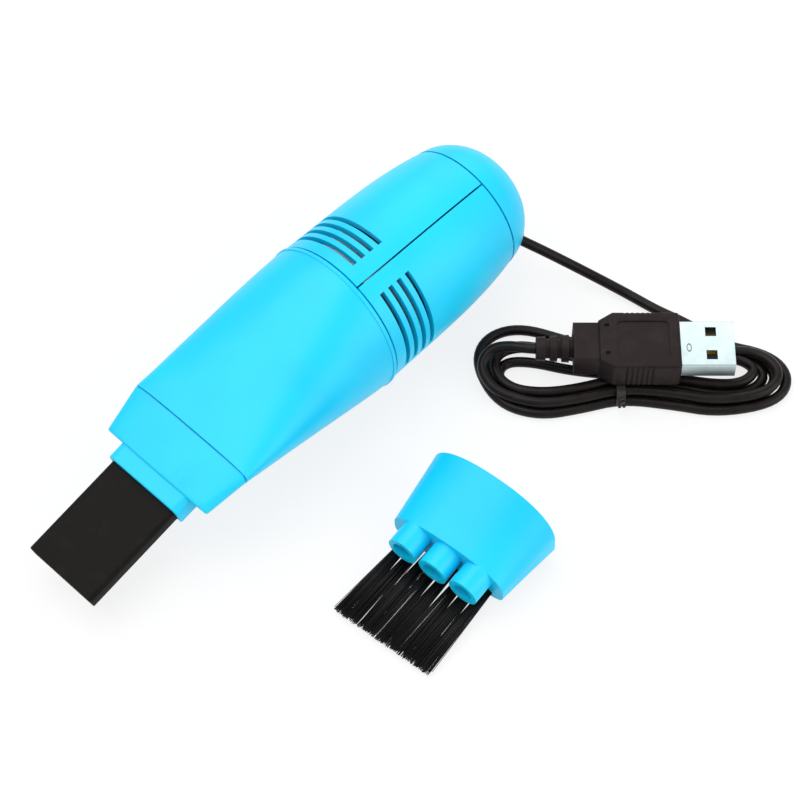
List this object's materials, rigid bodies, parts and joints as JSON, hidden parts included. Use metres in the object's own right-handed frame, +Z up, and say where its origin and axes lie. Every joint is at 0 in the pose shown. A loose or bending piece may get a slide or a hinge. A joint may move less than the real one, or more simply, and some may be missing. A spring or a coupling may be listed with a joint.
{
  "type": "desktop mini vacuum cleaner",
  "caption": "Palm-size round vacuum for a desk, with a flat rubber nozzle, a slip-on brush head with suction tubes, and a tied power cord with a plug.",
  "frame": {"origin": "on the table, under the middle of the box round the vacuum and its brush head, without the cord", "axes": "+X from the nozzle to the tail of the vacuum, +Y to its left, +Z up from the table"},
  "size_m": [0.1536, 0.097, 0.0377],
  "materials": {
    "cyan_plastic": "smooth satin gloss",
    "nozzle_rubber": "smooth black rubber",
    "cord_rubber": "smooth black cord jacket",
    "plug_rubber": "brown-black moulded plug",
    "plug_steel": "bright plated steel",
    "tongue_plastic": "white plastic",
    "contact_gold": "gold plated",
    "bristle": "black nylon bristles",
    "steel": "plated steel",
    "magnet": "sintered ferrite",
    "copper": "enamelled copper wire",
    "bronze": "oiled bronze",
    "nylon": "natural nylon",
    "black_plastic": "black plastic",
    "filter_cloth": "white non-woven cloth",
    "capacitor": "dipped ceramic",
    "wire_red": "thin insulated wire"
  },
  "bodies": {
    "rear": {"rear_shell_left": "cyan_plastic", "rear_shell_right": "cyan_plastic", "shell_screws": "steel", "tail_cap": "cyan_plastic", "cord_gland": "cord_rubber", "fan_shroud": "black_plastic", "motor_mount": "black_plastic", "motor_can": "steel", "motor_magnets": "magnet", "motor_end_bell": "nylon", "motor_bushes": "bronze", "motor_leaves": "bronze", "motor_terminals": "bronze", "noise_capacitor": "capacitor", "switch_body": "black_plastic", "switch_pins": "steel", "supply_wires": "wire_red", "switch_wire": "wire_red", "cord_lead": "cord_rubber", "cord_coil": "cord_rubber", "plug_lead": "cord_rubber", "cord_tie": "plug_rubber", "plug_overmold": "plug_rubber", "usb_shell": "plug_steel", "usb_tongue": "tongue_plastic", "usb_contacts": "contact_gold"},
    "front": {"dust_cup": "cyan_plastic", "nose_cap": "cyan_plastic", "nozzle_collar": "cyan_plastic"},
    "nozzle": {"crevice_nozzle": "nozzle_rubber"},
    "filter": {"filter_frame": "nylon", "filter_cloth": "filter_cloth"},
    "rotor": {"motor_shaft": "steel", "armature_core": "steel", "armature_windings": "copper", "commutator": "copper", "impeller": "nylon"},
    "knob": {"switch_knob": "cyan_plastic"},
    "brush": {"brush_cap": "cyan_plastic", "brush_socket": "cyan_plastic", "brush_tufts": "bristle"}
  },
  "joints": [
    {"name": "front_slide", "type": "slide", "parent": "rear", "child": "front", "axis": [-1, 0, 0], "range_m": [0, 0.04]},
    {"name": "nozzle_slide", "type": "slide", "parent": "front", "child": "nozzle", "axis": [-0.9703, 0, -0.2419], "range_m": [0, 0.03]},
    {"name": "filter_slide", "type": "slide", "parent": "rear", "child": "filter", "axis": [-1, 0, 0], "range_m": [0, 0.005]},
    {"name": "impeller_spin", "type": "hinge", "parent": "rear", "child": "rotor", "pos_m": [0, 0.02539, 0.01885], "axis": [1, 0, 0], "continuous": true},
    {"name": "switch_slide", "type": "slide", "parent": "rear", "child": "knob", "axis": [1, 0, 0], "range_m": [0, 0.003]},
    {"name": "brush_lift", "type": "slide", "parent": "rear", "child": "brush", "axis": [0, 0, 1], "range_m": [0, 0.06]}
  ]
}
